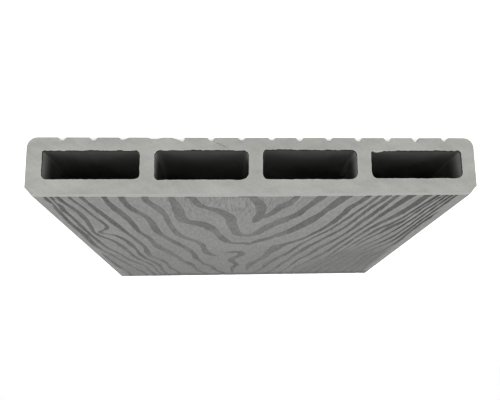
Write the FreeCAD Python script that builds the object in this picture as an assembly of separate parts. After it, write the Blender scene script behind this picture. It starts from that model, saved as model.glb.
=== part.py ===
"""A sample length of hollow composite decking board, extruded as one piece.

The board lies with its embossed face up and its grooved face down. X runs across the
board, Y along it and Z up. The origin is at the middle of the grooved face's plane.
"""

import FreeCAD, Part
import math
import os

# Driving dimensions in millimetres
BOARD_WIDTH = 150.0
BOARD_THICKNESS = 20.0
BOARD_LENGTH = 200.0

CHAMBER_COUNT = 4
SIDE_WALL = 4.7
WEB_WALL = 4.8
UPPER_SKIN = 5.7
LOWER_SKIN = 4.4
CHAMBER_CORNER_RADIUS = 1.6
LEAST_CHAMBER_FLAT = 0.5  # what the corner radii leave straight on a chamber's shortest wall

LOWER_EDGE_RADIUS = 3.5
UPPER_CHAMFER_WIDTH = 2.5
UPPER_CHAMFER_HEIGHT = 2.9

GROOVE_PITCH = 9.85
GROOVE_MOUTH = 2.6
GROOVE_FLOOR = 1.0
GROOVE_DEPTH = 1.0

# Sizes that follow from the driving dimensions
HALF_WIDTH = BOARD_WIDTH / 2
CHAMBER_WIDTH = (BOARD_WIDTH - 2 * SIDE_WALL - (CHAMBER_COUNT - 1) * WEB_WALL) / CHAMBER_COUNT
CHAMBER_TOP = BOARD_THICKNESS - UPPER_SKIN
CHAMBER_HEIGHT = CHAMBER_TOP - LOWER_SKIN


def section_point(x, z):
    """A point of the section, in the plane of the board's near end."""
    return FreeCAD.Vector(x, -BOARD_LENGTH / 2, z)


def line(start, end):
    return Part.LineSegment(start, end).toShape()


def quarter_arc(start, end, centre, radius):
    """The arc from start to end that bulges away from a centre given as (x, z)."""
    chord_middle = (start + end) / 2
    outward = (chord_middle - section_point(*centre)).normalize()
    return Part.Arc(start, section_point(*centre) + outward * radius, end).toShape()


def groove_centres():
    """Middles of the grooves, one for each whole pitch of the lower flat, about the board's middle."""
    flat = BOARD_WIDTH - 2 * LOWER_EDGE_RADIUS
    count = math.floor(flat / GROOVE_PITCH)
    first = -GROOVE_PITCH * (count - 1) / 2
    return [first + i * GROOVE_PITCH for i in range(count)]


def lower_face_points():
    """The lower face from left to right: flats with a tapered groove between each two."""
    points = [section_point(-HALF_WIDTH + LOWER_EDGE_RADIUS, 0)]
    for middle in groove_centres():
        points.append(section_point(middle - GROOVE_MOUTH / 2, 0))
        points.append(section_point(middle - GROOVE_FLOOR / 2, GROOVE_DEPTH))
        points.append(section_point(middle + GROOVE_FLOOR / 2, GROOVE_DEPTH))
        points.append(section_point(middle + GROOVE_MOUTH / 2, 0))
    points.append(section_point(HALF_WIDTH - LOWER_EDGE_RADIUS, 0))
    return points


def outline():
    """The section's outer edge: grooved below, rounded lower corners, chamfered upper ones."""
    lower = lower_face_points()
    right_foot = section_point(HALF_WIDTH, LOWER_EDGE_RADIUS)
    right_shoulder = section_point(HALF_WIDTH, BOARD_THICKNESS - UPPER_CHAMFER_HEIGHT)
    right_top = section_point(HALF_WIDTH - UPPER_CHAMFER_WIDTH, BOARD_THICKNESS)
    left_top = section_point(-HALF_WIDTH + UPPER_CHAMFER_WIDTH, BOARD_THICKNESS)
    left_shoulder = section_point(-HALF_WIDTH, BOARD_THICKNESS - UPPER_CHAMFER_HEIGHT)
    left_foot = section_point(-HALF_WIDTH, LOWER_EDGE_RADIUS)
    arc_centre_x = HALF_WIDTH - LOWER_EDGE_RADIUS

    edges = [line(a, b) for a, b in zip(lower, lower[1:])]
    edges.append(quarter_arc(lower[-1], right_foot, (arc_centre_x, LOWER_EDGE_RADIUS), LOWER_EDGE_RADIUS))
    upper = [right_foot, right_shoulder, right_top, left_top, left_shoulder, left_foot]
    edges += [line(a, b) for a, b in zip(upper, upper[1:])]
    edges.append(quarter_arc(left_foot, lower[0], (-arc_centre_x, LOWER_EDGE_RADIUS), LOWER_EDGE_RADIUS))
    return Part.Wire(edges)


def chamber(left):
    """One chamber's edge, a rectangle with rounded corners, from its left wall."""
    right = left + CHAMBER_WIDTH
    bottom, top = LOWER_SKIN, CHAMBER_TOP
    shortest_wall = min(CHAMBER_HEIGHT, CHAMBER_WIDTH)
    r = min(CHAMBER_CORNER_RADIUS, (shortest_wall - LEAST_CHAMBER_FLAT) / 2)
    corners = [
        ((right - r, bottom), (right, bottom + r), (right - r, bottom + r)),
        ((right, top - r), (right - r, top), (right - r, top - r)),
        ((left + r, top), (left, top - r), (left + r, top - r)),
        ((left, bottom + r), (left + r, bottom), (left + r, bottom + r)),
    ]
    edges = []
    for corner, following in zip(corners, corners[1:] + corners[:1]):
        start, end, centre = corner
        edges.append(quarter_arc(section_point(*start), section_point(*end), centre, r))
        edges.append(line(section_point(*end), section_point(*following[0])))
    return Part.Wire(edges)


def decking_board():
    """The section with its chambers open, drawn out to the board's length."""
    first_wall = -HALF_WIDTH + SIDE_WALL
    step = CHAMBER_WIDTH + WEB_WALL
    chambers = [chamber(first_wall + i * step) for i in range(CHAMBER_COUNT)]
    section = Part.makeFace([outline()] + chambers, "Part::FaceMakerBullseye")
    return section.extrude(FreeCAD.Vector(0, BOARD_LENGTH, 0))


os.makedirs("parts", exist_ok=True)
board = decking_board()
board.exportStep("parts/decking_board.step")
print("solids", len(board.Solids), "valid", board.isValid(), "volume_mm3", round(board.Volume, 1))
print("box", board.BoundBox)
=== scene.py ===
"""The looks of a sample length of hollow composite decking board, in the frame of its CAD part.

The board lies with its embossed face up. X runs across it, Y along it and Z up. Sizes and
places on the board are in millimetres, and places along it are counted from its near end.
"""

import math
from typing import NamedTuple

import bmesh
import bpy
import numpy as np
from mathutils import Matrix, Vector
from mathutils.geometry import delaunay_2d_cdt


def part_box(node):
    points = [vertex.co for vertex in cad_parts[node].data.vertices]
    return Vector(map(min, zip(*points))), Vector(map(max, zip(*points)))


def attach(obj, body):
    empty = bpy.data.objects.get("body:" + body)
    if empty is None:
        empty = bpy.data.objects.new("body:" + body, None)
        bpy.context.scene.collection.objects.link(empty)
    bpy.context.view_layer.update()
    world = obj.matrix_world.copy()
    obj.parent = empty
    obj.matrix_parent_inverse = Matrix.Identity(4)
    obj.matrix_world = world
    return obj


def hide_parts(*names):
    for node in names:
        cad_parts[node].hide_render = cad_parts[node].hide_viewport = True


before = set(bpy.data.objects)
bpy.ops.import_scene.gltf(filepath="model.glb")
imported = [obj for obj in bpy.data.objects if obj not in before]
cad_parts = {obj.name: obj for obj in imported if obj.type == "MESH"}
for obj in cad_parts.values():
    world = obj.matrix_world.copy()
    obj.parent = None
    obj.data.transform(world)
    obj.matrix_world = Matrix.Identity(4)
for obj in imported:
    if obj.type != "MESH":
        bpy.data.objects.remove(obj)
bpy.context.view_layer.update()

MM = 0.001
board_low, board_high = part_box("decking_board")
BOARD_WIDTH, BOARD_LENGTH, BOARD_THICKNESS = (board_high - board_low) / MM
HALF_WIDTH = BOARD_WIDTH / 2

# The section, as the CAD part has it
CHAMBER_COUNT = 4
SIDE_WALL = 4.7
WEB_WALL = 4.8
UPPER_SKIN = 5.7
LOWER_SKIN = 4.4
LOWER_EDGE_RADIUS = 3.5
UPPER_CHAMFER_WIDTH = 2.5
UPPER_CHAMFER_HEIGHT = 2.9
GROOVE_COUNT = 14
GROOVE_PITCH = 9.85
GROOVE_MOUTH = 2.6
GROOVE_FLOOR = 1.0
CHAMBER_WIDTH = (BOARD_WIDTH - 2 * SIDE_WALL - (CHAMBER_COUNT - 1) * WEB_WALL) / CHAMBER_COUNT
CHAMBER_TOP = BOARD_THICKNESS - UPPER_SKIN
FACE_HALF_WIDTH = HALF_WIDTH - UPPER_CHAMFER_WIDTH
SHOULDER = BOARD_THICKNESS - UPPER_CHAMFER_HEIGHT

# How far each groove strayed across in the die, and how deep it is, from left to right
GROOVE_STRAYS = (
    (-0.9, 1.2), (-0.6, 1.4), (-0.7, 1.2), (-0.4, 1.2), (-0.2, 1.0), (-0.1, 1.1), (-0.5, 0.9),
    (-0.2, 0.9), (0.2, 1.1), (-0.3, 1.0), (0.3, 1.0), (0.2, 1.1), (-0.6, 1.0), (-0.3, 1.0),
)
# How far each chamber's left and right wall, floor and ceiling strayed, and the radii of its
# lower right, upper right, upper left and lower left corner
CHAMBER_SHAPES = (
    ((-0.2, -0.3, 0.1, 0.1), (0.8, 2.0, 2.3, 1.5)),
    ((-0.4, 0.2, -0.2, 0.3), (1.5, 1.8, 2.5, 1.9)),
    ((-0.1, -0.2, 0.0, 0.4), (2.0, 1.5, 2.9, 2.2)),
    ((-0.4, -0.3, 0.1, 0.1), (0.9, 1.9, 1.7, 1.6)),
)

# The embossed grain. Each band is a line of (across, along, width) through which a curve runs.
GRAIN_BANDS = [
    [(68.7, -1, 0.4), (68.8, 6, 1.0), (68.6, 13, 0.6), (69.1, 22, 1.2), (69.4, 45, 1.3), (68.8, 64, 1.8),
     (69.0, 82, 2.0), (68.6, 100, 1.4), (67.4, 112, 1.2), (65.8, 122, 1.2), (64.6, 136, 1.3),
     (62.7, 150, 1.4), (61.0, 166, 1.2), (59.0, 177, 1.7), (57.6, 188, 1.4), (56.9, 200, 1.0)],
    [(69.7, 116, 0.3), (69.5, 126, 1.2), (69.2, 142, 1.5), (68.6, 158, 2.0), (67.3, 171, 1.4),
     (66.5, 182, 1.3), (66.4, 196, 1.8)],
    [(66.8, -1, 0.6), (66.8, 4, 0.9), (67.1, 9, 0.4), (66.7, 15, 1.6), (67.1, 21, 1.5), (66.8, 28, 1.2),
     (66.6, 45, 1.3), (66.4, 68, 1.3), (65.7, 82, 1.3), (65.2, 96, 1.3), (63.7, 107, 1.5),
     (61.5, 119, 1.4), (60.4, 131, 1.6), (58.8, 141, 1.8), (56.5, 150, 1.8), (54.4, 160, 1.4),
     (54.0, 171, 1.4), (53.3, 184, 2.1), (52.6, 200, 1.2)],
    [(64.8, -1, 1.2), (64.4, 10, 1.4), (62.9, 22, 1.6), (62.5, 38, 1.9), (63.3, 52, 1.6), (64.0, 63, 1.4),
     (62.4, 73, 1.5), (60.0, 80.5, 1.7), (58.2, 91, 2.0), (57.3, 103, 2.4), (56.4, 118, 1.5),
     (55.5, 131, 1.9), (53.6, 141, 1.5), (51.4, 150, 1.4), (50.4, 159, 1.3), (49.9, 168, 1.2),
     (50.0, 179, 1.3), (48.6, 192, 0.8)],
    [(60.8, -1, 0.4), (60.9, 5, 0.8), (59.7, 17, 1.2), (58.5, 32, 1.4), (57.2, 45, 1.4), (57.1, 52, 1.5),
     (58.6, 57.5, 1.6), (60.9, 60.5, 1.6), (61.5, 64, 1.6), (59.3, 67, 1.6), (57.0, 69.5, 1.7),
     (54.6, 78, 1.8), (53.1, 92, 2.2), (52.3, 108, 1.1), (52.2, 121, 1.9), (50.8, 135, 1.9),
     (48.7, 145, 1.6), (46.9, 155, 2.0), (46.5, 166, 2.0), (46.8, 176, 1.8), (46.4, 184, 1.5),
     (45.0, 197, 1.2)],
    [(56.8, -1, 1.3), (57.2, 4, 1.4), (55.9, 18, 1.7), (54.5, 32, 2.1), (53.0, 46, 2.3), (51.7, 60, 2.0),
     (50.0, 75, 1.5), (48.7, 87, 2.1), (47.8, 101, 1.9), (48.2, 114, 2.4), (47.8, 126, 2.1),
     (45.0, 135, 2.1), (42.8, 145, 1.9), (41.8, 158, 1.7), (41.6, 168, 1.8), (40.0, 176, 1.8),
     (38.8, 184, 1.6), (38.0, 196, 1.2)],
    [(49.8, -1, 1.5), (50.0, 8, 1.8), (48.9, 20, 2.8), (47.4, 33, 2.8), (46.3, 47, 2.2), (45.8, 63, 1.9),
     (43.4, 76, 2.0), (42.6, 89, 2.4), (41.3, 100, 3.6), (39.1, 110, 3.3), (37.2, 120, 3.2),
     (34.9, 131, 2.3), (33.6, 141, 2.4), (31.0, 150, 3.7), (28.9, 162, 2.7), (28.0, 173, 1.8),
     (26.4, 182, 2.6), (23.6, 190, 1.8), (21.5, 197, 1.0)],
    [(44.4, -1, 2.2), (44.3, 10, 2.1), (42.9, 22, 2.7), (40.0, 33, 2.2), (38.9, 45, 2.8), (38.5, 62, 3.0),
     (36.1, 76, 2.4), (33.5, 87, 3.4), (31.3, 96, 2.9), (28.4, 107, 2.9), (26.5, 122, 2.4),
     (26.1, 134, 3.0), (24.3, 145, 1.8), (22.7, 155, 2.2), (19.8, 160.5, 2.8), (18.2, 170, 2.5),
     (17.6, 178, 2.1), (15.6, 184, 2.3), (13.4, 189, 2.3), (12.4, 194, 1.0)],
    [(36.6, -1, 2.0), (36.7, 8, 2.6), (34.3, 19, 3.2), (32.6, 31, 2.2), (32.5, 44, 2.2), (31.6, 58, 2.3),
     (30.3, 70, 2.8), (27.6, 78.5, 3.4), (24.0, 86, 3.2), (21.5, 95, 2.6), (21.0, 106, 2.3),
     (20.0, 118, 3.8), (17.5, 125.5, 3.0), (14.5, 128.5, 0.6)],
    [(28.0, -1, 1.1), (27.9, 8, 2.5), (27.2, 22, 4.0), (27.1, 35, 4.4), (25.6, 42.5, 5.5),
     (22.0, 45.5, 7.5), (18.5, 51, 5.8), (15.8, 60, 4.1), (13.7, 70, 2.7), (12.3, 79, 3.7),
     (9.6, 89.5, 3.5), (6.0, 91.7, 4.5), (2.6, 92, 4.4), (0.6, 96, 2.0), (-0.9, 92.5, 2.2),
     (-4.0, 86, 4.5), (-8.8, 78.5, 4.0), (-13.2, 70, 5.0), (-17.5, 60, 4.8), (-20.5, 50, 5.0),
     (-23.0, 40, 4.7), (-25.2, 30, 3.0), (-27.2, 20, 3.4), (-28.9, 10, 4.0), (-31.4, -1, 4.2)],
    [(23.4, 2.8, 1.3), (21.3, 3.5, 2.4), (20.4, 10, 2.6), (18.5, 17, 3.2), (14.6, 21.5, 4.6),
     (11.0, 29, 4.5), (8.6, 37, 4.2), (8.0, 50, 4.1), (6.6, 63, 3.5), (5.0, 71, 4.4), (2.0, 73.4, 5.2),
     (-1.0, 71, 4.5), (-4.0, 63, 4.2), (-7.0, 52.5, 5.0), (-12.0, 41, 5.4), (-16.2, 31, 3.9),
     (-18.2, 22, 2.9), (-20.4, 12, 3.2), (-23.0, -1, 3.6)],
    [(5.4, 3, 1.4), (2.2, 3, 2.2), (-0.3, 8, 3.5), (-2.2, 18, 3.9), (-2.4, 29, 3.2), (-1.5, 40, 3.6),
     (-0.7, 46, 1.2)],
    [(1.5, -1, 1.2), (1.0, 4, 3.0)],
    [(-3.9, 36, 3.0), (-6.3, 30, 2.9), (-8.4, 22.5, 3.4), (-10.6, 15, 4.6), (-12.7, 9, 2.7),
     (-14.2, -1, 1.8)],
    [(11.5, 120, 1.0), (8.5, 117.5, 4.0), (5.6, 116, 5.6), (3.6, 120, 4.2), (3.9, 127, 3.5),
     (7.2, 135, 3.6), (8.5, 144, 3.7), (6.6, 153, 3.2), (5.7, 160, 3.1), (7.4, 169, 2.8),
     (7.8, 180, 1.8), (7.8, 190, 1.2)],
    [(-38.5, -1, 2.0), (-36.8, 10, 2.4), (-34.6, 20, 2.7), (-33.4, 33, 2.5), (-31.7, 48, 2.6),
     (-29.4, 60, 2.3), (-26.6, 70, 2.1), (-24.4, 78, 1.5), (-21.0, 87, 3.1), (-17.4, 93.5, 3.5),
     (-13.6, 101, 6.0), (-11.9, 110, 5.4), (-9.9, 120, 4.2), (-8.7, 130, 3.6), (-6.5, 140, 3.6),
     (-3.6, 150, 3.8), (-1.6, 160, 3.8), (-0.8, 170, 2.3), (-0.4, 182, 0.5)],
    [(-42.1, -1, 1.5), (-40.0, 15, 1.3), (-38.5, 25, 1.4), (-36.3, 40, 1.6), (-33.9, 55, 1.8),
     (-31.9, 65, 1.8), (-29.0, 75, 1.4), (-26.6, 85, 1.5), (-24.1, 95, 2.0), (-22.2, 105, 2.1),
     (-20.3, 117, 2.1), (-17.9, 128, 3.2), (-15.2, 137, 2.9), (-12.8, 150, 2.6), (-10.5, 160, 3.6),
     (-10.0, 170, 2.2), (-7.6, 181, 1.6), (-4.6, 191, 0.8)],
    [(-45.1, -1, 2.1), (-44.0, 10, 2.0), (-42.3, 20, 2.0), (-40.6, 35, 1.8), (-39.0, 50, 1.7),
     (-37.6, 60, 1.8), (-34.3, 75, 2.1), (-32.0, 85, 2.3), (-29.6, 95, 2.5), (-27.3, 105, 2.7),
     (-25.8, 115, 2.8), (-23.9, 125, 2.3), (-22.4, 135, 2.2), (-21.2, 145, 2.3), (-19.3, 155, 2.4),
     (-18.0, 165, 2.1), (-16.5, 175, 1.8), (-14.8, 184, 1.5), (-12.0, 193, 1.0)],
    [(-48.3, -1, 1.7), (-46.9, 12, 1.9), (-45.1, 30, 2.0), (-43.5, 43, 2.2), (-42.1, 58, 1.6),
     (-40.3, 72, 1.4), (-38.2, 85, 1.9), (-36.0, 95, 2.5), (-33.9, 105, 2.8), (-31.7, 120, 2.8),
     (-30.0, 130, 2.5), (-27.4, 140, 2.3), (-25.9, 151, 1.8), (-24.2, 164, 1.4), (-23.2, 174, 1.3),
     (-21.6, 183, 1.3), (-19.8, 198, 1.0)],
    [(-53.1, -1, 3.0), (-51.6, 10, 3.0), (-50.3, 20, 2.3), (-48.6, 35, 2.2), (-47.0, 50, 1.4),
     (-44.9, 65, 1.7), (-43.3, 80, 1.6), (-41.2, 95, 2.0), (-39.6, 110, 2.2), (-38.1, 120, 2.6),
     (-36.3, 130, 2.5), (-33.4, 145, 2.1), (-30.8, 158, 1.4), (-28.0, 168, 1.2), (-27.2, 182, 1.0),
     (-27.0, 198, 0.7)],
    [(-58.5, -1, 2.8), (-57.6, 10, 2.9), (-56.6, 20, 2.7), (-55.3, 30, 3.0), (-53.3, 40, 2.6),
     (-51.0, 50, 2.5), (-49.2, 60, 1.9), (-48.0, 70, 1.9), (-46.5, 82, 1.6), (-45.2, 95, 1.7),
     (-42.9, 115, 1.4), (-41.1, 135, 1.2), (-38.9, 150, 1.0), (-35.0, 167, 0.9), (-32.8, 182, 1.0),
     (-31.6, 198, 0.8)],
    [(-62.2, -1, 1.2), (-61.1, 10, 1.4), (-59.5, 25, 1.1), (-57.9, 40, 1.4), (-56.1, 50, 2.1),
     (-53.4, 60, 2.5), (-51.9, 70, 1.8), (-50.3, 80, 1.3), (-48.9, 91, 1.4), (-47.2, 105, 0.9),
     (-45.9, 118, 0.9), (-44.0, 134, 1.1), (-41.6, 150, 1.3), (-39.2, 166, 1.2), (-37.0, 182, 1.0),
     (-36.2, 199, 0.9)],
    [(-63.8, -1, 0.5), (-63.0, 8, 0.5), (-61.9, 17, 0.7), (-61.1, 28, 0.9), (-60.2, 40, 0.9),
     (-58.9, 50, 2.3), (-57.0, 60, 2.6), (-55.6, 70, 1.8), (-53.4, 80, 1.3), (-51.8, 90, 1.5),
     (-50.4, 102, 1.0), (-48.4, 115, 0.8), (-46.8, 127, 0.5)],
    [(-65.0, -1, 0.9), (-64.5, 12, 0.9), (-63.5, 24, 0.9), (-62.9, 38, 1.0), (-61.6, 54, 1.0),
     (-60.0, 70, 1.1), (-57.9, 85, 1.5), (-55.4, 95, 1.8), (-53.5, 105, 1.6), (-51.9, 115, 1.3),
     (-50.3, 126, 0.9), (-48.3, 141, 1.3), (-46.0, 157, 1.5), (-43.6, 172, 1.1), (-42.3, 186, 1.2),
     (-41.2, 200, 1.0)],
    [(-66.9, -1, 0.9), (-66.0, 14, 0.9), (-65.4, 28, 0.9), (-64.8, 42, 0.9), (-64.4, 55, 0.9),
     (-63.5, 72, 1.0), (-62.3, 84, 1.5), (-60.0, 95, 1.6), (-57.8, 105, 1.8), (-56.1, 115, 1.4),
     (-54.0, 125, 1.0), (-52.4, 137, 0.8), (-51.5, 152, 1.2), (-49.6, 167, 1.4), (-47.6, 182, 1.1),
     (-47.0, 199, 0.8)],
    [(-68.3, -1, 0.9), (-67.5, 24, 0.9), (-66.8, 40, 0.8), (-66.5, 55, 1.0), (-66.2, 70, 1.7),
     (-65.8, 82, 1.4), (-64.6, 95, 1.2), (-62.2, 105, 1.3), (-60.0, 115, 1.3), (-57.7, 125, 1.3),
     (-56.2, 136, 1.2), (-55.6, 150, 1.1), (-54.0, 165, 1.0), (-52.2, 182, 0.7)],
    [(-69.4, 25, 0.2), (-68.9, 36, 0.8), (-68.4, 48, 1.0), (-68.2, 70, 1.0), (-68.1, 92, 1.3),
     (-66.5, 113, 1.2), (-63.8, 132, 1.5), (-63.1, 150, 1.4), (-63.0, 166, 1.0), (-62.5, 184, 1.0),
     (-63.5, 200, 0.8)],
    [(-68.0, 118, 0.4), (-67.5, 135, 1.0), (-67.2, 150, 1.2), (-67.0, 165, 0.8), (-68.2, 182, 0.8),
     (-69.0, 197, 0.6)],
    [(-62.2, 122, 0.4), (-60.3, 135, 1.5), (-60.3, 150, 1.4), (-59.5, 165, 1.5), (-58.3, 180, 1.2),
     (-57.8, 199, 0.8)],
]
GRAIN_DEPTH = 0.35
GRAIN_WALL = 0.25  # how far a band's sloping wall reaches to each side of its edge
GRAIN_REACH = 1.5  # how far from a band its distance is still told apart
GRAIN_STEP = 0.4  # between the points of a band's curve
GRAIN_SPREAD = 0.09  # by which every band is wider to each side than its curve says
GRAIN_WANDER = 0.06  # how far each noise makes a band's edge stray
GRAIN_RUN_IN = (1.0, 4.0)  # between which the bands grow to their depth behind the near edge
GRAIN_RUN_OUT = 8.0  # over which the bands grow shallower up to the far edge
FLOOR_ROUGHNESS = 0.1  # height of the rough floor of the bands
STREAK_DEPTH = 0.04  # of the brushed streaks along the face
EDGE_WEAR = 0.12  # how far the face's long edges are worn down
CHIP_DEPTH = 0.1  # of the chips that the saw left along the face's short edges
# The face's near edge is eased where the saw broke out: how deep, how far along the board at its
# middle, and how far across the board the easing would run out
EASED_DEPTH = 0.6
EASED_REACH = 2.5
EASED_SPAN = 90.0

# The embossed face's grid, and how many of its rows and columns a blot of each noise spans
GRID_ACROSS = 364
GRID_ALONG = 205
GRID_CROWDING = 0.2  # how much closer its columns stand at the board's sides, where the bands are thin
WANDER_CELLS = ((3, 3), (9, 7))
ROUGH_CELLS = (2, 2)
STREAK_CELLS = (18, 1)
CHIP_CELLS = (1, 4)

# Into how many pieces each stretch of the section's outline is divided
SIDE_PIECES = 6
EDGE_PIECES = 8
FLAT_PIECES = 6
GROOVE_PIECES = 2
CORNER_PIECES = 6

# The sawn ends
STATIONS = (0, 0.3, 0.9, 2, 4, 8, 16, 40)  # sections made behind each end, closer together near it
END_SPACING = 1.6  # of the points inside an end's face
MOUTH_SPACING = 0.5  # of the points round a chamber's mouth
TEARS = ((6, 0.6), (2, 0.5), (1, 0.5))  # how many of those points each size of tear spans, and its share
RAGGED_LOWER = 0.2  # how far the saw tore a mouth's lower edge, and the other edges
RAGGED_OTHER = 0.1
RAGGED_FADE = 1.5  # how deep into a chamber the tears reach
LOWER_REACH = 0.8  # how far up from a chamber's floor its mouth's lower edge reaches
RIM_WIDTH = 0.45  # of the painted highlight round a mouth
SAME_PLACE = 1e-6  # points of an end closer than this are one
# The burr on the lower edge of one chamber's near mouth
BURR_CHAMBER = 0
BURR_MIDDLE = -41.2
BURR_HALF_LENGTH = 2.0
BURR_HEIGHT = 0.5
BURR_STEEPNESS = 4  # the power that makes its ends steep
# Grooves that are torn at the near end: how far their four corners, from right to left, are
# moved across, and how deep they are there
TORN_GROOVES = {
    9: ((2.4, -0.2, 0.3, 0.7), 1.3),
    10: ((-0.3, -0.6, -1.5, -2.4), 0.55),
    11: ((-0.5, -0.5, -0.2, -1.2), 0.85),
}
GROOVE_FADE = 20.0  # the length over which a groove's tear fades

GRAIN, SAWN, SKIN, CHAMBER = range(4)  # the board's kinds of surface, in the order of its materials
CREASE = math.radians(28)  # a sharper turn than this shows as an edge

SEED = 12
rng = np.random.default_rng(SEED)


def smooth_step(value, low, high):
    t = np.clip((value - low) / (high - low), 0, 1)
    return t * t * (3 - 2 * t)


def smooth_noise(shape, cells):
    """Random values from -1 to 1 over a grid, each blended smoothly over a number of cells each way."""
    values = rng.uniform(-1, 1, [n // c + 2 for n, c in zip(shape, cells)])
    for axis, (count, cell) in enumerate(zip(shape, cells)):
        at = np.arange(count) / cell
        first = at.astype(int)
        share = smooth_step(at - first, 0, 1)
        share = share[:, None] if axis == 0 else share
        values = np.take(values, first, axis) * (1 - share) + np.take(values, first + 1, axis) * share
    return values


def curve_through(points):
    """Points of a smooth curve through the given ones, about GRAIN_STEP apart."""
    p = np.array(points, float)
    padded = np.vstack([2 * p[0] - p[1], p, 2 * p[-1] - p[-2]])
    runs = []
    for a, b, c, d in zip(padded, padded[1:], padded[2:], padded[3:]):
        count = max(2, int(math.dist(b[:2], c[:2]) / GRAIN_STEP))
        t = np.linspace(0, 1, count)[:, None]
        runs.append(b + t * ((c - a) + t * ((2 * a - 5 * b + 4 * c - d) + t * (3 * (b - c) + d - a))) / 2)
    return np.vstack(runs)


def grain_field(across, along):
    """How far each point of a grid lies inside a band of the grain, below zero outside."""
    field = np.full((len(along), len(across)), -GRAIN_REACH)
    for band in GRAIN_BANDS:
        for x, d, width in curve_through(band):
            half = width / 2 + GRAIN_SPREAD
            reach = half + GRAIN_REACH
            columns = slice(*np.searchsorted(across, (x - reach, x + reach)))
            rows = slice(*np.searchsorted(along, (d - reach, d + reach)))
            distance = np.hypot(across[columns] - x, (along[rows] - d)[:, None])
            field[rows, columns] = np.maximum(field[rows, columns], half - distance)
    return field + GRAIN_WANDER * sum(smooth_noise(field.shape, cells) for cells in WANDER_CELLS)


def grain_cut(field, along):
    """How far each point of the face lies below its plane: bands cut in, lands brushed, edges worn."""
    grown = smooth_step(along, *GRAIN_RUN_IN) * smooth_step(BOARD_LENGTH - along, 0, GRAIN_RUN_OUT)
    inside = smooth_step(field, -GRAIN_WALL, GRAIN_WALL) * grown[:, None]
    rough = (1 + smooth_noise(field.shape, ROUGH_CELLS)) / 2
    streaks = (1 + smooth_noise(field.shape, STREAK_CELLS)) / 2
    cut = inside * (GRAIN_DEPTH - rough * FLOOR_ROUGHNESS) + (1 - inside) * streaks * STREAK_DEPTH
    chips = smooth_noise((2, field.shape[1]), CHIP_CELLS)
    cut[[0, -1]] += CHIP_DEPTH * np.clip(chips, 0, 1)
    cut[:, [0, -1]] = EDGE_WEAR
    return cut


def near_easing(across, along):
    """How far the eased near edge would lie below the face's plane, below zero behind it."""
    reach = EASED_REACH * (1 - (across / EASED_SPAN) ** 2)
    return EASED_DEPTH * (1 - along[:, None] / reach)


def segment(start, end, count):
    """A number of points from start up to but not including end."""
    start, end = np.array(start), np.array(end)
    return [tuple(start + (end - start) * i / count) for i in range(count)]


def arc(centre, radius, start, end, count):
    """A number of points about (x, z), from one angle in degrees up to but not including another."""
    angles = np.radians(start + (end - start) * np.arange(count) / count)
    return [(centre[0] + radius * math.cos(a), centre[1] + radius * math.sin(a)) for a in angles]


def groove_corners(number, torn):
    """The four corners of a groove, from right to left. torn goes from 0 to 1 at the near end."""
    stray, depth = GROOVE_STRAYS[number]
    middle = GROOVE_PITCH * (number - (GROOVE_COUNT - 1) / 2) + stray
    shifts, torn_depth = TORN_GROOVES.get(number, ((0, 0, 0, 0), depth))
    depth += (torn_depth - depth) * torn
    halves = (GROOVE_MOUTH / 2, GROOVE_FLOOR / 2, -GROOVE_FLOOR / 2, -GROOVE_MOUTH / 2)
    heights = (0, depth, depth, 0)
    return [(middle + half + shift * torn, z) for half, shift, z in zip(halves, shifts, heights)]


def skin_outline(torn):
    """The section's outer edge below the embossed face, from the right shoulder round to the left one."""
    foot = HALF_WIDTH - LOWER_EDGE_RADIUS
    grooves = [groove_corners(i, torn) for i in reversed(range(GROOVE_COUNT))]
    points = segment((HALF_WIDTH, SHOULDER), (HALF_WIDTH, LOWER_EDGE_RADIUS), SIDE_PIECES)
    points += arc((foot, LOWER_EDGE_RADIUS), LOWER_EDGE_RADIUS, 0, -90, EDGE_PIECES)
    flat_start = (foot, 0)
    for corners in grooves:
        points += segment(flat_start, corners[0], FLAT_PIECES)
        for start, end in zip(corners, corners[1:]):
            points += segment(start, end, GROOVE_PIECES)
        flat_start = corners[-1]
    points += segment(flat_start, (-foot, 0), FLAT_PIECES)
    points += arc((-foot, LOWER_EDGE_RADIUS), LOWER_EDGE_RADIUS, -90, -180, EDGE_PIECES)
    points += segment((-HALF_WIDTH, LOWER_EDGE_RADIUS), (-HALF_WIDTH, SHOULDER), SIDE_PIECES)
    return points + [(-HALF_WIDTH, SHOULDER)]


def chamber_outline(number, grow=0.0):
    """One chamber's edge, a rectangle with four rounded corners, grown by a given amount."""
    shifts, radii = CHAMBER_SHAPES[number]
    first_wall = -HALF_WIDTH + SIDE_WALL + number * (CHAMBER_WIDTH + WEB_WALL)
    walls = (first_wall, first_wall + CHAMBER_WIDTH, LOWER_SKIN, CHAMBER_TOP)
    left, right, bottom, top = np.add(walls, shifts)
    corners = ((right, bottom, -1, 1), (right, top, -1, -1), (left, top, 1, -1), (left, bottom, 1, 1))
    rounded = []
    for (x, z, to_middle, to_mid_height), radius, turn in zip(corners, radii, (-90, 0, 90, 180)):
        centre = (x + to_middle * radius, z + to_mid_height * radius)
        rounded += arc(centre, radius + grow, turn, turn + 90, CORNER_PIECES)
    points = []
    for start, end in zip(rounded, rounded[1:] + rounded[:1]):
        points += segment(start, end, math.ceil(math.dist(start, end) / MOUTH_SPACING))
    return np.array(points)


def on_lower_edge(outline):
    return outline[:, 1] < LOWER_SKIN + LOWER_REACH


def mouth_tears(outline):
    """How far the saw pushed each point of a mouth's edge inwards, below zero where it tore some away."""
    row = (1, len(outline))
    tears = sum(share * smooth_noise(row, (1, span))[0] for span, share in TEARS)
    return tears * np.where(on_lower_edge(outline), RAGGED_LOWER, RAGGED_OTHER)


def burr(outline):
    """A sliver left standing on a mouth's lower edge."""
    off_middle = (outline[:, 0] - BURR_MIDDLE) / BURR_HALF_LENGTH
    return on_lower_edge(outline) * BURR_HEIGHT * np.exp(-off_middle ** BURR_STEEPNESS)


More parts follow.
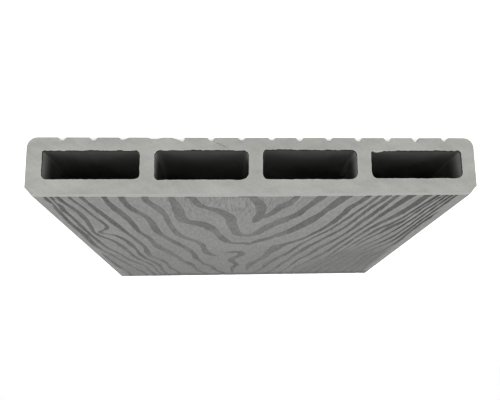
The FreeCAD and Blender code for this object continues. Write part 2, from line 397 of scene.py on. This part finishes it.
def inward(outline):
    """Unit vectors from each point of a closed edge, drawn anticlockwise, towards its inside."""
    tangent = np.roll(outline, -1, 0) - np.roll(outline, 1, 0)
    tangent /= np.hypot(*tangent.T)[:, None]
    return np.column_stack([-tangent[:, 1], tangent[:, 0]])


def inside_edge(points, edge):
    """Which of the points lie inside a closed edge."""
    inside = np.zeros(len(points), bool)
    for (x1, z1), (x2, z2) in zip(edge, np.roll(edge, -1, 0)):
        crosses = (z1 > points[:, 1]) != (z2 > points[:, 1])
        slope = (x2 - x1) / (z2 - z1) if z1 != z2 else 0.0
        inside ^= crosses & (points[:, 0] < x1 + (points[:, 1] - z1) * slope)
    return inside


def on_end(points, bounds):
    """Which of the points lie inside the first of some closed edges and outside the others."""
    outer, *mouths = [inside_edge(points, edge) for edge in bounds]
    return outer & ~np.any(mouths, 0)


# What the materials read from each point, and its value where nothing else is said: how far inside a
# band of the grain it lies, how far the easing cuts below the embossing, and whether it is on a mouth
MARKS = {"grain": -GRAIN_REACH, "eased": -EASED_DEPTH, "rim": 0.0}


class Shell:
    """The board's points with their marks, and its faces with their kinds of surface."""

    def __init__(self):
        self.points, self.faces, self.kinds = [], [], []
        self.marks = {name: [] for name in MARKS}

    def add(self, outline, along, **marks):
        """Adds the points of an outline at a place along the board, and returns their numbers."""
        first = len(self.points)
        self.points += [(x, along, z) for x, z in outline]
        count = len(self.points) - first
        for name, usual in MARKS.items():
            self.marks[name] += list(np.broadcast_to(marks.get(name, usual), count))
        return list(range(first, first + count))

    def face(self, corners, kind):
        self.faces.append(tuple(corners))
        self.kinds.append(kind)

    def join(self, first, second, kind, closed=False):
        """Fills the strip between two rows of as many points."""
        pairs = list(zip(first, second))
        following = pairs[1:] + pairs[:1] if closed else pairs[1:]
        for (a, b), (c, d) in zip(pairs, following):
            self.face((a, c, d, b), kind)

    def zip_up(self, fine, coarse, kind):
        """Fills the strip between two rows along the board that have different numbers of points."""
        i = j = 0
        while i < len(fine) - 1 or j < len(coarse) - 1:
            fine_next = self.points[fine[i + 1]][1] if i < len(fine) - 1 else math.inf
            coarse_next = self.points[coarse[j + 1]][1] if j < len(coarse) - 1 else math.inf
            if fine_next <= coarse_next:
                self.face((fine[i], fine[i + 1], coarse[j]), kind)
                i += 1
            else:
                self.face((fine[i], coarse[j + 1], coarse[j]), kind)
                j += 1

    def flat(self, numbers):
        """The (x, z) of numbered points."""
        return np.array([(self.points[i][0], self.points[i][2]) for i in numbers])


def add_embossed_face(shell):
    """The face's grid of points, row by row along the board."""
    share = np.linspace(-1, 1, GRID_ACROSS)
    across = FACE_HALF_WIDTH * (share + GRID_CROWDING * (share - share ** 3))
    along = np.linspace(0, BOARD_LENGTH, GRID_ALONG)
    field = grain_field(across, along)
    cut = grain_cut(field, along)
    eased = near_easing(across, along) - cut
    heights = BOARD_THICKNESS - cut - np.clip(eased, 0, None)
    rows = []
    for d, z, grain, below in zip(along, heights, field, eased):
        rows.append(shell.add(zip(across, z), d, grain=grain, eased=below))
    for first, second in zip(rows, rows[1:]):
        shell.join(first, second, GRAIN)
    return rows


def add_skin(shell, stations, face_rows):
    """The sides and the grooved face, with the chamfers up to the embossed face."""
    rings = [shell.add(skin_outline(max(0.0, 1 - d / GROOVE_FADE)), d) for d in stations]
    for first, second in zip(rings, rings[1:]):
        shell.join(first, second, SKIN)
    shell.zip_up([row[-1] for row in face_rows], [ring[0] for ring in rings], SKIN)
    shell.zip_up([row[0] for row in face_rows], [ring[-1] for ring in rings], SKIN)
    return rings


def add_chamber(shell, number, stations):
    """One chamber's wall. Returns the points of its near and far mouth."""
    outline = chamber_outline(number)
    near, far = mouth_tears(outline), mouth_tears(outline)
    if number == BURR_CHAMBER:
        near += burr(outline)
    rings = []
    for d in stations:
        depth, far_depth = d / RAGGED_FADE, (BOARD_LENGTH - d) / RAGGED_FADE
        push = near * max(0.0, 1 - depth) + far * max(0.0, 1 - far_depth)
        at_mouth = float(d in (0, BOARD_LENGTH))
        rings.append(shell.add(outline + inward(outline) * push[:, None], d, rim=at_mouth))
    for first, second in zip(rings, rings[1:]):
        shell.join(first, second, CHAMBER, closed=True)
    return rings[0], rings[-1]


def end_grid(bounds, taken):
    """Points spread evenly over an end between its closed edges, clear of the places already taken."""
    grid = np.array([(x, z) for x in np.arange(-HALF_WIDTH, HALF_WIDTH, END_SPACING)
                     for z in np.arange(0, BOARD_THICKNESS, END_SPACING)]) + END_SPACING / 2
    grid = grid[on_end(grid, bounds)]
    clear = [np.hypot(*(taken - p).T).min() > END_SPACING / 2 for p in grid]
    return grid[clear]


def close_end(shell, outer, mouths, along):
    """Fills an end of the board between its outer edge and the chambers' mouths."""
    loops = [outer] + mouths
    bounds = [shell.flat(loop) for loop in loops]
    rims = [i for n in range(CHAMBER_COUNT) for i in shell.add(chamber_outline(n, RIM_WIDTH), along)]
    edge = [i for loop in loops for i in loop] + rims
    numbers = edge + shell.add(end_grid(bounds, shell.flat(edge)), along)
    order = {number: i for i, number in enumerate(numbers)}
    sides = [(order[a], order[b]) for loop in loops for a, b in zip(loop, loop[1:] + loop[:1])]
    places = shell.flat(numbers)
    filled = delaunay_2d_cdt([Vector(p) for p in places], sides, [], 0, SAME_PLACE)
    triangles, sources = filled[2:4]
    corners = np.array([[sources[i][0] for i in triangle] for triangle in triangles])
    middles = places[corners].mean(1)
    for triangle in corners[on_end(middles, bounds)]:
        shell.face([numbers[i] for i in triangle], SAWN)


def board_shell():
    shell = Shell()
    stations = list(STATIONS) + [BOARD_LENGTH - d for d in reversed(STATIONS)]
    face_rows = add_embossed_face(shell)
    rings = add_skin(shell, stations, face_rows)
    mouths = [add_chamber(shell, number, stations) for number in range(CHAMBER_COUNT)]
    close_end(shell, rings[0] + face_rows[0], [near for near, _ in mouths], 0.0)
    close_end(shell, rings[-1] + face_rows[-1], [far for _, far in mouths], BOARD_LENGTH)
    return shell


def mark_edges(mesh):
    """Turns all faces outwards and keeps the board's edges sharp, but not the grain's."""
    tidy = bmesh.new()
    tidy.from_mesh(mesh)
    bmesh.ops.recalc_face_normals(tidy, faces=tidy.faces)
    for face in tidy.faces:
        face.smooth = True
    for edge in tidy.edges:
        kinds = {face.material_index for face in edge.link_faces}
        edge.smooth = len(kinds) == 1 and (kinds == {GRAIN} or edge.calc_face_angle(0.0) < CREASE)
    tidy.to_mesh(mesh)
    tidy.free()


def board_object(materials):
    shell = board_shell()
    places = np.array(shell.points) * MM
    places[:, 1] += board_low.y
    mesh = bpy.data.meshes.new("board")
    mesh.from_pydata(places.tolist(), [], shell.faces)
    mesh.polygons.foreach_set("material_index", shell.kinds)
    for name, values in shell.marks.items():
        mesh.attributes.new(name, "FLOAT", "POINT").data.foreach_set("value", values)
    for material in materials:
        mesh.materials.append(material)
    mark_edges(mesh)
    board = bpy.data.objects.new("board", mesh)
    bpy.context.scene.collection.objects.link(board)
    return board


SCREEN_GAMMA = 2.2
WHITE_LEVEL = 255.0
NOISE_SPAN = (0.3, 0.7)  # between which nearly all of a noise lies
SHEEN = 0.06


class Blots(NamedTuple):
    """A noise over the board: its blots' sizes across, along and up, and how far it swings."""

    sizes: tuple
    swing: float = 0.0  # to each side
    detail: float = 2.0
    roughness: float = 0.5
    turn: float = 0.0  # about Y, in degrees


class Shader:
    """A material's nodes, made by short calls."""

    def __init__(self, name):
        self.material = bpy.data.materials.new(name)
        self.material.use_nodes = True
        self.tree = self.material.node_tree
        self.surface = self.tree.nodes["Principled BSDF"]

    def node(self, kind, **settings):
        node = self.tree.nodes.new(kind)
        for name, value in settings.items():
            setattr(node, name, value)
        return node

    def feed(self, socket, value):
        if isinstance(value, bpy.types.NodeSocket):
            self.tree.links.new(value, socket)
        else:
            socket.default_value = value

    def place(self, sizes, turn=0.0):
        """Where a point lies on the board, in steps of given sizes, turned about Y."""
        node = self.node("ShaderNodeMapping", vector_type="TEXTURE")
        self.feed(node.inputs["Vector"], self.node("ShaderNodeTexCoord").outputs["Object"])
        node.inputs["Location"].default_value = (0.0, board_low.y, 0.0)
        node.inputs["Rotation"].default_value = (0.0, math.radians(turn), 0.0)
        node.inputs["Scale"].default_value = [size * MM for size in sizes]
        return node.outputs["Vector"]

    def axes(self):
        """How far across, along and up the board a point lies."""
        node = self.node("ShaderNodeSeparateXYZ")
        self.feed(node.inputs[0], self.place((1, 1, 1)))
        return node.outputs

    def noise(self, blots):
        """A noise as a value about 0.5."""
        node = self.node("ShaderNodeTexNoise")
        self.feed(node.inputs["Vector"], self.place(blots.sizes, blots.turn))
        node.inputs["Scale"].default_value = 1.0
        node.inputs["Detail"].default_value = blots.detail
        node.inputs["Roughness"].default_value = blots.roughness
        return node.outputs["Fac"]

    def swing(self, blots):
        """A noise as a value that swings about 0."""
        return self.step(self.noise(blots), *NOISE_SPAN, -blots.swing, blots.swing)

    def math(self, operation, first, second=0.0):
        node = self.node("ShaderNodeMath", operation=operation)
        self.feed(node.inputs[0], first)
        self.feed(node.inputs[1], second)
        return node.outputs[0]

    def total(self, first, *others):
        for value in others:
            first = self.math("ADD", first, value)
        return first

    def product(self, first, *others):
        for value in others:
            first = self.math("MULTIPLY", first, value)
        return first

    def step(self, value, low, high, first=0.0, second=1.0):
        """A smooth change from first to second as value goes from low to high."""
        node = self.node("ShaderNodeMapRange", interpolation_type="SMOOTHSTEP")
        for name, given in (("Value", value), ("From Min", low), ("From Max", high),
                            ("To Min", first), ("To Max", second)):
            self.feed(node.inputs[name], given)
        return node.outputs["Result"]

    def mix(self, share, first, second):
        node = self.node("ShaderNodeMix")
        self.feed(node.inputs["Factor"], share)
        self.feed(node.inputs["A"], first)
        self.feed(node.inputs["B"], second)
        return node.outputs["Result"]

    def attribute(self, name):
        return self.node("ShaderNodeAttribute", attribute_name=name).outputs["Fac"]

    def sideways(self):
        """How far a face turns towards the board's sides, from 0 to 1."""
        node = self.node("ShaderNodeSeparateXYZ")
        self.feed(node.inputs[0], self.node("ShaderNodeNewGeometry").outputs["Normal"])
        return self.math("ABSOLUTE", node.outputs[0])

    def paint(self, level, tint):
        """The colour of a grey, given as the level from 0 to 255 at which a screen shows it."""
        node = self.node("ShaderNodeVectorMath", operation="SCALE")
        node.inputs[0].default_value = tint
        share = self.math("DIVIDE", level, WHITE_LEVEL)
        self.feed(node.inputs["Scale"], self.math("POWER", share, SCREEN_GAMMA))
        return node.outputs["Vector"]

    def bump(self, height, millimetres):
        node = self.node("ShaderNodeBump")
        node.inputs["Distance"].default_value = millimetres * MM
        self.feed(node.inputs["Height"], height)
        self.feed(self.surface.inputs["Normal"], node.outputs["Normal"])

    def finish(self, base, roughness):
        self.feed(self.surface.inputs["Base Color"], base)
        self.feed(self.surface.inputs["Roughness"], roughness)
        self.surface.inputs["Specular IOR Level"].default_value = SHEEN
        return self.material


# The embossed face. A level is a grey from 0 to 255. Where two places follow a name, a change
# begins at the first and ends at the second.
FACE_TINT = (1.0, 1.0, 0.967)
FLECKS = Blots((0.9, 1, 0.6), swing=4, detail=4, roughness=0.65)  # of fibre, where the board is cut
FAR = (30, 190)
LAND_LEVEL = 144
LAND_CLOUDS = Blots((16, 40, 1), swing=3)
LAND_MOTTLE = Blots((1.2, 6, 1), swing=6, detail=3)
# Painted shade: the lands and the band floors darken towards the far end, over FAR
FAR_LAND_SHADE = -13
# Painted highlight: the lands are paler in a thin line beside each band
BAND_EDGE_HIGHLIGHT = (-0.9, -0.3)  # how far outside a band its painted highlight lies
HIGHLIGHT_RISE, LEFT_HIGHLIGHT_RISE = 5, 5  # the second on top of the first
WORN_EDGE, WORN_LEVEL = (67.0, 71.2), 150  # the face's long edges, counted from its middle
BRUSHED_RIGHT, BRUSHED_LEFT, BRUSHED_ALONG = (40, 25), (-24, -8), (50, 15)
DASHES = Blots((0.42, 9, 1), detail=1)
DASH_EDGE = (0.52, 0.62)  # values of the noise
DASH_FALL = -18
PLAIN_SLANT = 0.32  # how far across the plain corner's border moves for each millimetre along
PLAIN_ACROSS, PLAIN_ALONG = (-72, -93), (80, 135)
PLAIN_STRAY = Blots((14, 45, 1), swing=5, detail=3)
PLAIN_LEVEL = 122
PLAIN_BAND_SHARE = 0.5  # how much of a band is left where the face is plain
BAND_LEVEL = 121
FAR_BAND_SHADE_LEVEL = 116
# Painted shade: the bands darken where they start behind the near edge
NEAR_BANDS, NEAR_BAND_SHADE_FALL = (5.0, 1.5), -13
SIDE_ALONG = (150, 40)
RIGHT_BANDS, RIGHT_BAND_LEVEL = (25, 60), 105
LEFT_BANDS, LEFT_BAND_LEVEL = (0, -30), 104
# The thin bands are darker still: painted shade of their narrow recesses
THIN_BANDS, THIN_BAND_SHADE_LEVEL = (-58, -62), 88
BAND_BLOTS = Blots((8, 20, 1), swing=7)
HATCH = Blots((0.7, 2.6, 1), swing=9, detail=3, roughness=0.65)
FRAY = Blots((0.5, 1.2, 1), swing=0.06, detail=3, roughness=0.6)
RAGGED = Blots((3, 9, 1), swing=0.12)
NEAR_SOFTNESS, FAR_SOFTNESS = 0.28, 0.65  # of a band's edge
EASED_EDGE, EASED_LEVEL = (-0.04, 0.04), 175  # the first is how far the easing cuts in
BEHIND_EASED, BEHIND_EASED_SHADE_FALL = (-0.25, -0.05), -6  # painted shade in a line behind the eased edge; the first as above
# Painted shade: a darker strip with a straying border along the far edge
FAR_EDGE_SHADED, FAR_SHADE_ACROSS = (14, 4), (62, 42)  # the first counted from the far edge
FAR_EDGE_SHADE_LEVEL = 105
FAR_SHADE_STRAY = Blots((6, 3, 1), swing=2, detail=4)
LAND_ROUGHNESS, BAND_ROUGHNESS = 0.75, 0.9
DASH_BUMP = 0.6
FACE_BUMP = 0.07


def plain_share(s, across, along):
    """How much the grain is worn away at a point, from 0 to 1, with a border that slants and strays."""
    beyond = s.total(across, s.product(along, -PLAIN_SLANT), s.swing(PLAIN_STRAY))
    return s.product(s.step(beyond, *PLAIN_ACROSS), s.step(along, *PLAIN_ALONG))


def band_share(s, edge, along, plain):
    """How much of a point is a band, from 0 to 1, from how far inside a band's edge it lies."""
    softness = s.step(along, *FAR, NEAR_SOFTNESS, FAR_SOFTNESS)
    share = s.step(edge, s.product(softness, -1.0), softness)
    return s.product(share, s.mix(plain, 1.0, PLAIN_BAND_SHARE))


def land_level(s, edge, across, along, plain, dashes):
    """The lands: mottled, with a painted highlight beside the bands, painted shade towards the far end,
    worn long edges and a brushed middle.
    """
    far = s.step(along, *FAR)
    brushed = s.product(s.step(across, *BRUSHED_RIGHT), s.step(across, *BRUSHED_LEFT),
                        s.step(along, *BRUSHED_ALONG))
    dark_dashes = s.product(s.step(dashes, *DASH_EDGE), brushed, DASH_FALL)
    # Painted highlight beside the bands
    highlight_rise = s.total(s.step(across, *LEFT_BANDS, 0.0, LEFT_HIGHLIGHT_RISE), HIGHLIGHT_RISE)
    edge_highlight = s.product(s.step(edge, *BAND_EDGE_HIGHLIGHT), highlight_rise)
    land = s.total(LAND_LEVEL, s.swing(LAND_CLOUDS), edge_highlight, s.product(far, FAR_LAND_SHADE), dark_dashes)
    worn = s.step(s.math("ABSOLUTE", across), *WORN_EDGE)
    land = s.mix(worn, s.mix(plain, land, PLAIN_LEVEL), WORN_LEVEL)
    return s.total(land, s.swing(LAND_MOTTLE))


def band_level(s, across, along):
    """The floors of the bands: hatched and blotchy, darkest at the near end's sides. Painted shade
    darkens the thin bands there, the bands towards the far end and where they start.
    """
    level = s.step(along, *FAR, BAND_LEVEL, FAR_BAND_SHADE_LEVEL)
    beside = s.step(along, *SIDE_ALONG)
    for bands, side_level in ((RIGHT_BANDS, RIGHT_BAND_LEVEL), (LEFT_BANDS, LEFT_BAND_LEVEL),
                              (THIN_BANDS, THIN_BAND_SHADE_LEVEL)):
        level = s.mix(s.product(beside, s.step(across, *bands)), level, side_level)
    near_shade = s.step(along, *NEAR_BANDS, 0.0, NEAR_BAND_SHADE_FALL)
    return s.total(level, near_shade, s.swing(BAND_BLOTS), s.swing(HATCH))


def far_edge_shade_share(s, across, along):
    """How much of the painted shade along the far edge a point takes, from 0 to 1."""
    from_edge = s.total(s.math("SUBTRACT", BOARD_LENGTH, along), s.swing(FAR_SHADE_STRAY))
    return s.product(s.step(from_edge, *FAR_EDGE_SHADED), s.step(across, *FAR_SHADE_ACROSS))


def embossed_face():
    """Brushed grey lands, with darker and rougher floors in the bands of the grain."""
    s = Shader("embossed_face")
    across, along, _ = s.axes()
    edge = s.total(s.attribute("grain"), s.swing(FRAY), s.swing(RAGGED))
    plain = plain_share(s, across, along)
    dashes = s.noise(DASHES)
    band = band_share(s, edge, along, plain)
    level = s.mix(band, land_level(s, edge, across, along, plain, dashes), band_level(s, across, along))
    eased = s.attribute("eased")
    # Painted shade in a thin line just behind the eased near edge
    level = s.total(level, s.step(eased, *BEHIND_EASED, 0.0, BEHIND_EASED_SHADE_FALL))
    level = s.mix(s.step(eased, *EASED_EDGE), level, s.total(EASED_LEVEL, s.swing(FLECKS)))
    # Painted shade along the far edge
    level = s.mix(far_edge_shade_share(s, across, along), level, FAR_EDGE_SHADE_LEVEL)
    s.bump(s.total(s.product(s.noise(HATCH), band), s.product(dashes, DASH_BUMP)), FACE_BUMP)
    return s.finish(s.paint(level, FACE_TINT), s.mix(band, LAND_ROUGHNESS, BAND_ROUGHNESS))


# The sawn ends
SAWN_TINT = (1.0, 1.013, 0.949)
SAWN_LEVEL = 166
SAWN_CLOUDS = Blots((20, 1, 9), swing=6, detail=4)
SMEARS = Blots((9, 1, 2.5), swing=3.5, turn=30)
CROSS_SMEARS = Blots((16, 1, 3), swing=2.5, turn=-12)
# Painted highlight: a paler rim round each mouth
RIM_EDGE, RIM_HIGHLIGHT_RISE = (0.2, 1.0), 14
SAWN_ROUGHNESS = (0.65, 0.8)
SAWN_BUMP = 0.05
SCRATCH_LEVEL = 95
SCRATCH_START = (13.7, 1.6)
SCRATCH_END = (9.3, 3.7)
SCRATCH_HALF_WIDTH = 0.14
SCRATCH_FADE = 1.0  # how long its ends fade


def scratch(s):
    """A hairline scratch in the near end, as a share from 0 to 1."""
    across, along, up = s.axes()
    run = np.subtract(SCRATCH_END, SCRATCH_START)
    length = np.hypot(*run)
    run /= length

    def reach(direction):
        """How far a point lies from the scratch's start in a direction (x, z)."""
        first = s.product(s.math("SUBTRACT", across, SCRATCH_START[0]), direction[0])
        second = s.product(s.math("SUBTRACT", up, SCRATCH_START[1]), direction[1])
        return s.total(first, second)

    beside = s.step(s.math("ABSOLUTE", reach((-run[1], run[0]))), SCRATCH_HALF_WIDTH, 0.0)
    from_middle = s.math("ABSOLUTE", s.math("SUBTRACT", reach(run), length / 2))
    within = s.step(from_middle, length / 2, length / 2 - SCRATCH_FADE)
    near_end = s.math("LESS_THAN", along, BOARD_LENGTH / 2)
    return s.product(beside, within, near_end)


def sawn_end():
    """Pale cut composite: soft clouds, smears and flecks of fibre, and a painted highlight round the
    mouths.
    """
    s = Shader("sawn_end")
    flecks = s.noise(FLECKS)
    rim = s.step(s.attribute("rim"), *RIM_EDGE, 0.0, RIM_HIGHLIGHT_RISE)
    swings = [s.swing(blots) for blots in (SAWN_CLOUDS, SMEARS, CROSS_SMEARS, FLECKS)]
    level = s.total(SAWN_LEVEL, rim, *swings)
    level = s.mix(scratch(s), level, SCRATCH_LEVEL)
    s.bump(s.total(flecks, s.noise(SMEARS)), SAWN_BUMP)
    return s.finish(s.paint(level, SAWN_TINT), s.step(flecks, *NOISE_SPAN, *SAWN_ROUGHNESS))


# The sides and the grooved face
SKIN_LEVEL = 141
SKIN_LINES = Blots((0.5, 100, 0.5), swing=7, detail=3)
SKIN_CLOUDS = Blots((10, 50, 10), swing=4)
SKIN_ROUGHNESS = (0.5, 0.65)
SKIN_BUMP = 0.04


def extruded_skin():
    """The sides and the grooved face, smooth from the die, with fine lines along the length."""
    s = Shader("extruded_skin")
    lines = s.noise(SKIN_LINES)
    level = s.total(SKIN_LEVEL, s.swing(SKIN_LINES), s.swing(SKIN_CLOUDS))
    s.bump(lines, SKIN_BUMP)
    return s.finish(s.paint(level, FACE_TINT), s.step(lines, *NOISE_SPAN, *SKIN_ROUGHNESS))


# The chambers: their greys at the mouth, behind it and deep inside, and how deep each change lies. The
# dark mouth is painted shade, the paler grey deep inside is painted light, and the grey behind the mouth
# is partly the wall's own darker grey and partly painted shade.
MOUTH_SHADE_LEVEL, CHAMBER_LEVEL, DEEP_LIGHT_LEVEL = 58, 90, 140
BEHIND_MOUTH, DEEP = (0.5, 1.6), (6, 30)
CHAMBER_SIDE = (0.4, 0.9)  # how far a wall is turned that counts as a side
SIDE_FADE, SIDE_LIGHT_RISE, SIDE_SHADE_FALL = (2, 17), 48, -35  # painted light on a side at the mouth, and painted shade behind it
CHAMBER_LINES = Blots((0.8, 100, 0.8), swing=4, detail=3)
CHAMBER_ROUGHNESS = (0.45, 0.6)
CHAMBER_BUMP = 0.05


def chamber_wall():
    """The unbrushed inside of the chambers, with painted shade darkest at the torn mouths, painted light
    deep inside, and painted light and shade on the sides.
    """
    s = Shader("chamber_wall")
    _, along, _ = s.axes()
    depth = s.math("MINIMUM", along, s.math("SUBTRACT", BOARD_LENGTH, along))
    lines = s.noise(CHAMBER_LINES)
    # Painted light on the sides near a mouth and painted shade behind it; painted shade at the mouth and
    # painted light deep inside
    side = s.step(s.sideways(), *CHAMBER_SIDE, 0.0, s.step(depth, *SIDE_FADE, SIDE_LIGHT_RISE, SIDE_SHADE_FALL))
    inner = s.total(s.step(depth, *DEEP, CHAMBER_LEVEL, DEEP_LIGHT_LEVEL), s.swing(CHAMBER_LINES), side)
    level = s.step(depth, *BEHIND_MOUTH, MOUTH_SHADE_LEVEL, inner)
    s.bump(lines, CHAMBER_BUMP)
    return s.finish(s.paint(level, FACE_TINT), s.step(lines, *NOISE_SPAN, *CHAMBER_ROUGHNESS))


# The stage, in metres and watts
FLOOR_SIZE = 60.0
FLOOR_COLOUR = (0.83, 0.83, 0.83, 1.0)
FLOOR_ROUGH = 0.9
FLOOR_GLOW = 0.8  # what the camera sees of the floor in shadow
AMBIENT = 0.45
WHITE = (1.0, 1.0, 1.0, 1.0)
# Each lamp's name, place, size and power
LAMPS = (
    ("key", (0.0, -0.45, 0.6), 0.6, 1.3),
    ("front_left", (-0.55, -0.55, 0.28), 0.4, 1.6),
    ("front_right", (0.55, -0.55, 0.28), 0.4, 1.6),
    ("back", (0.0, 0.75, 0.4), 0.8, 1.2),
)


def soft_lamp(name, place, size, watts):
    """A round lamp that shines at the board."""
    lamp = bpy.data.lights.new(name, "AREA")
    lamp.shape = "DISK"
    lamp.size = size
    lamp.energy = watts
    holder = bpy.data.objects.new(name, lamp)
    holder.location = place
    holder.rotation_euler = (-Vector(place)).to_track_quat("-Z", "Y").to_euler()
    bpy.context.scene.collection.objects.link(holder)


def seen_directly(nodes, links):
    """1 for what the camera sees, also mirrored or through glass, and 0 for what lights the board."""
    path = nodes.new("ShaderNodeLightPath")
    total = path.outputs["Is Camera Ray"]
    for name in ("Is Glossy Ray", "Is Transmission Ray"):
        add = nodes.new("ShaderNodeMath")
        add.use_clamp = True
        links.new(total, add.inputs[0])
        links.new(path.outputs[name], add.inputs[1])
        total = add.outputs[0]
    return total


def white_floor():
    """A plain floor that the camera sees as white wherever the board doesn't shade it."""
    bpy.ops.mesh.primitive_plane_add(size=FLOOR_SIZE)
    floor = bpy.context.object
    floor.name = "floor"
    s = Shader("floor")
    s.finish(FLOOR_COLOUR, FLOOR_ROUGH)
    seen = seen_directly(s.tree.nodes, s.tree.links)
    s.surface.inputs["Emission Color"].default_value = WHITE
    s.feed(s.surface.inputs["Emission Strength"], s.product(seen, FLOOR_GLOW))
    floor.data.materials.append(s.material)


def white_surroundings():
    """Even light from all round, which the camera itself sees as white."""
    world = bpy.data.worlds.new("surroundings")
    world.use_nodes = True
    bpy.context.scene.world = world
    nodes, links = world.node_tree.nodes, world.node_tree.links
    background = nodes["Background"]
    background.inputs["Color"].default_value = WHITE
    strength = nodes.new("ShaderNodeMapRange")
    strength.inputs["To Min"].default_value = AMBIENT
    links.new(seen_directly(nodes, links), strength.inputs["Value"])
    links.new(strength.outputs["Result"], background.inputs["Strength"])


# The camera, fitted to the photo's view, in metres. It is turned half round, so that the embossed
# face, which lies upwards here, shows below the near end.
CAMERA_PLACE = (0.008716, -0.333983, 0.077075)
CAMERA_TURN = (-76.7238, -1.4092, -175.3416)  # degrees
CAMERA_LENS = 52.388  # on a sensor of CAMERA_SENSOR, both in millimetres
CAMERA_SENSOR = 36.0
CAMERA_SHIFT = -0.084  # as a share of the picture's width
CAMERA_NEAREST = 0.01


def photo_camera():
    camera = bpy.data.cameras.new("camera")
    camera.sensor_width = CAMERA_SENSOR
    camera.lens = CAMERA_LENS
    camera.shift_x = CAMERA_SHIFT
    camera.clip_start = CAMERA_NEAREST
    holder = bpy.data.objects.new("camera", camera)
    holder.location = CAMERA_PLACE
    holder.rotation_euler = [math.radians(angle) for angle in CAMERA_TURN]
    bpy.context.scene.collection.objects.link(holder)
    bpy.context.scene.camera = holder


board = board_object([embossed_face(), sawn_end(), extruded_skin(), chamber_wall()])
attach(board, "root")
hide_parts("decking_board")

white_floor()
white_surroundings()
for lamp in LAMPS:
    soft_lamp(*lamp)
photo_camera()
bpy.context.scene.view_settings.view_transform = "Standard"
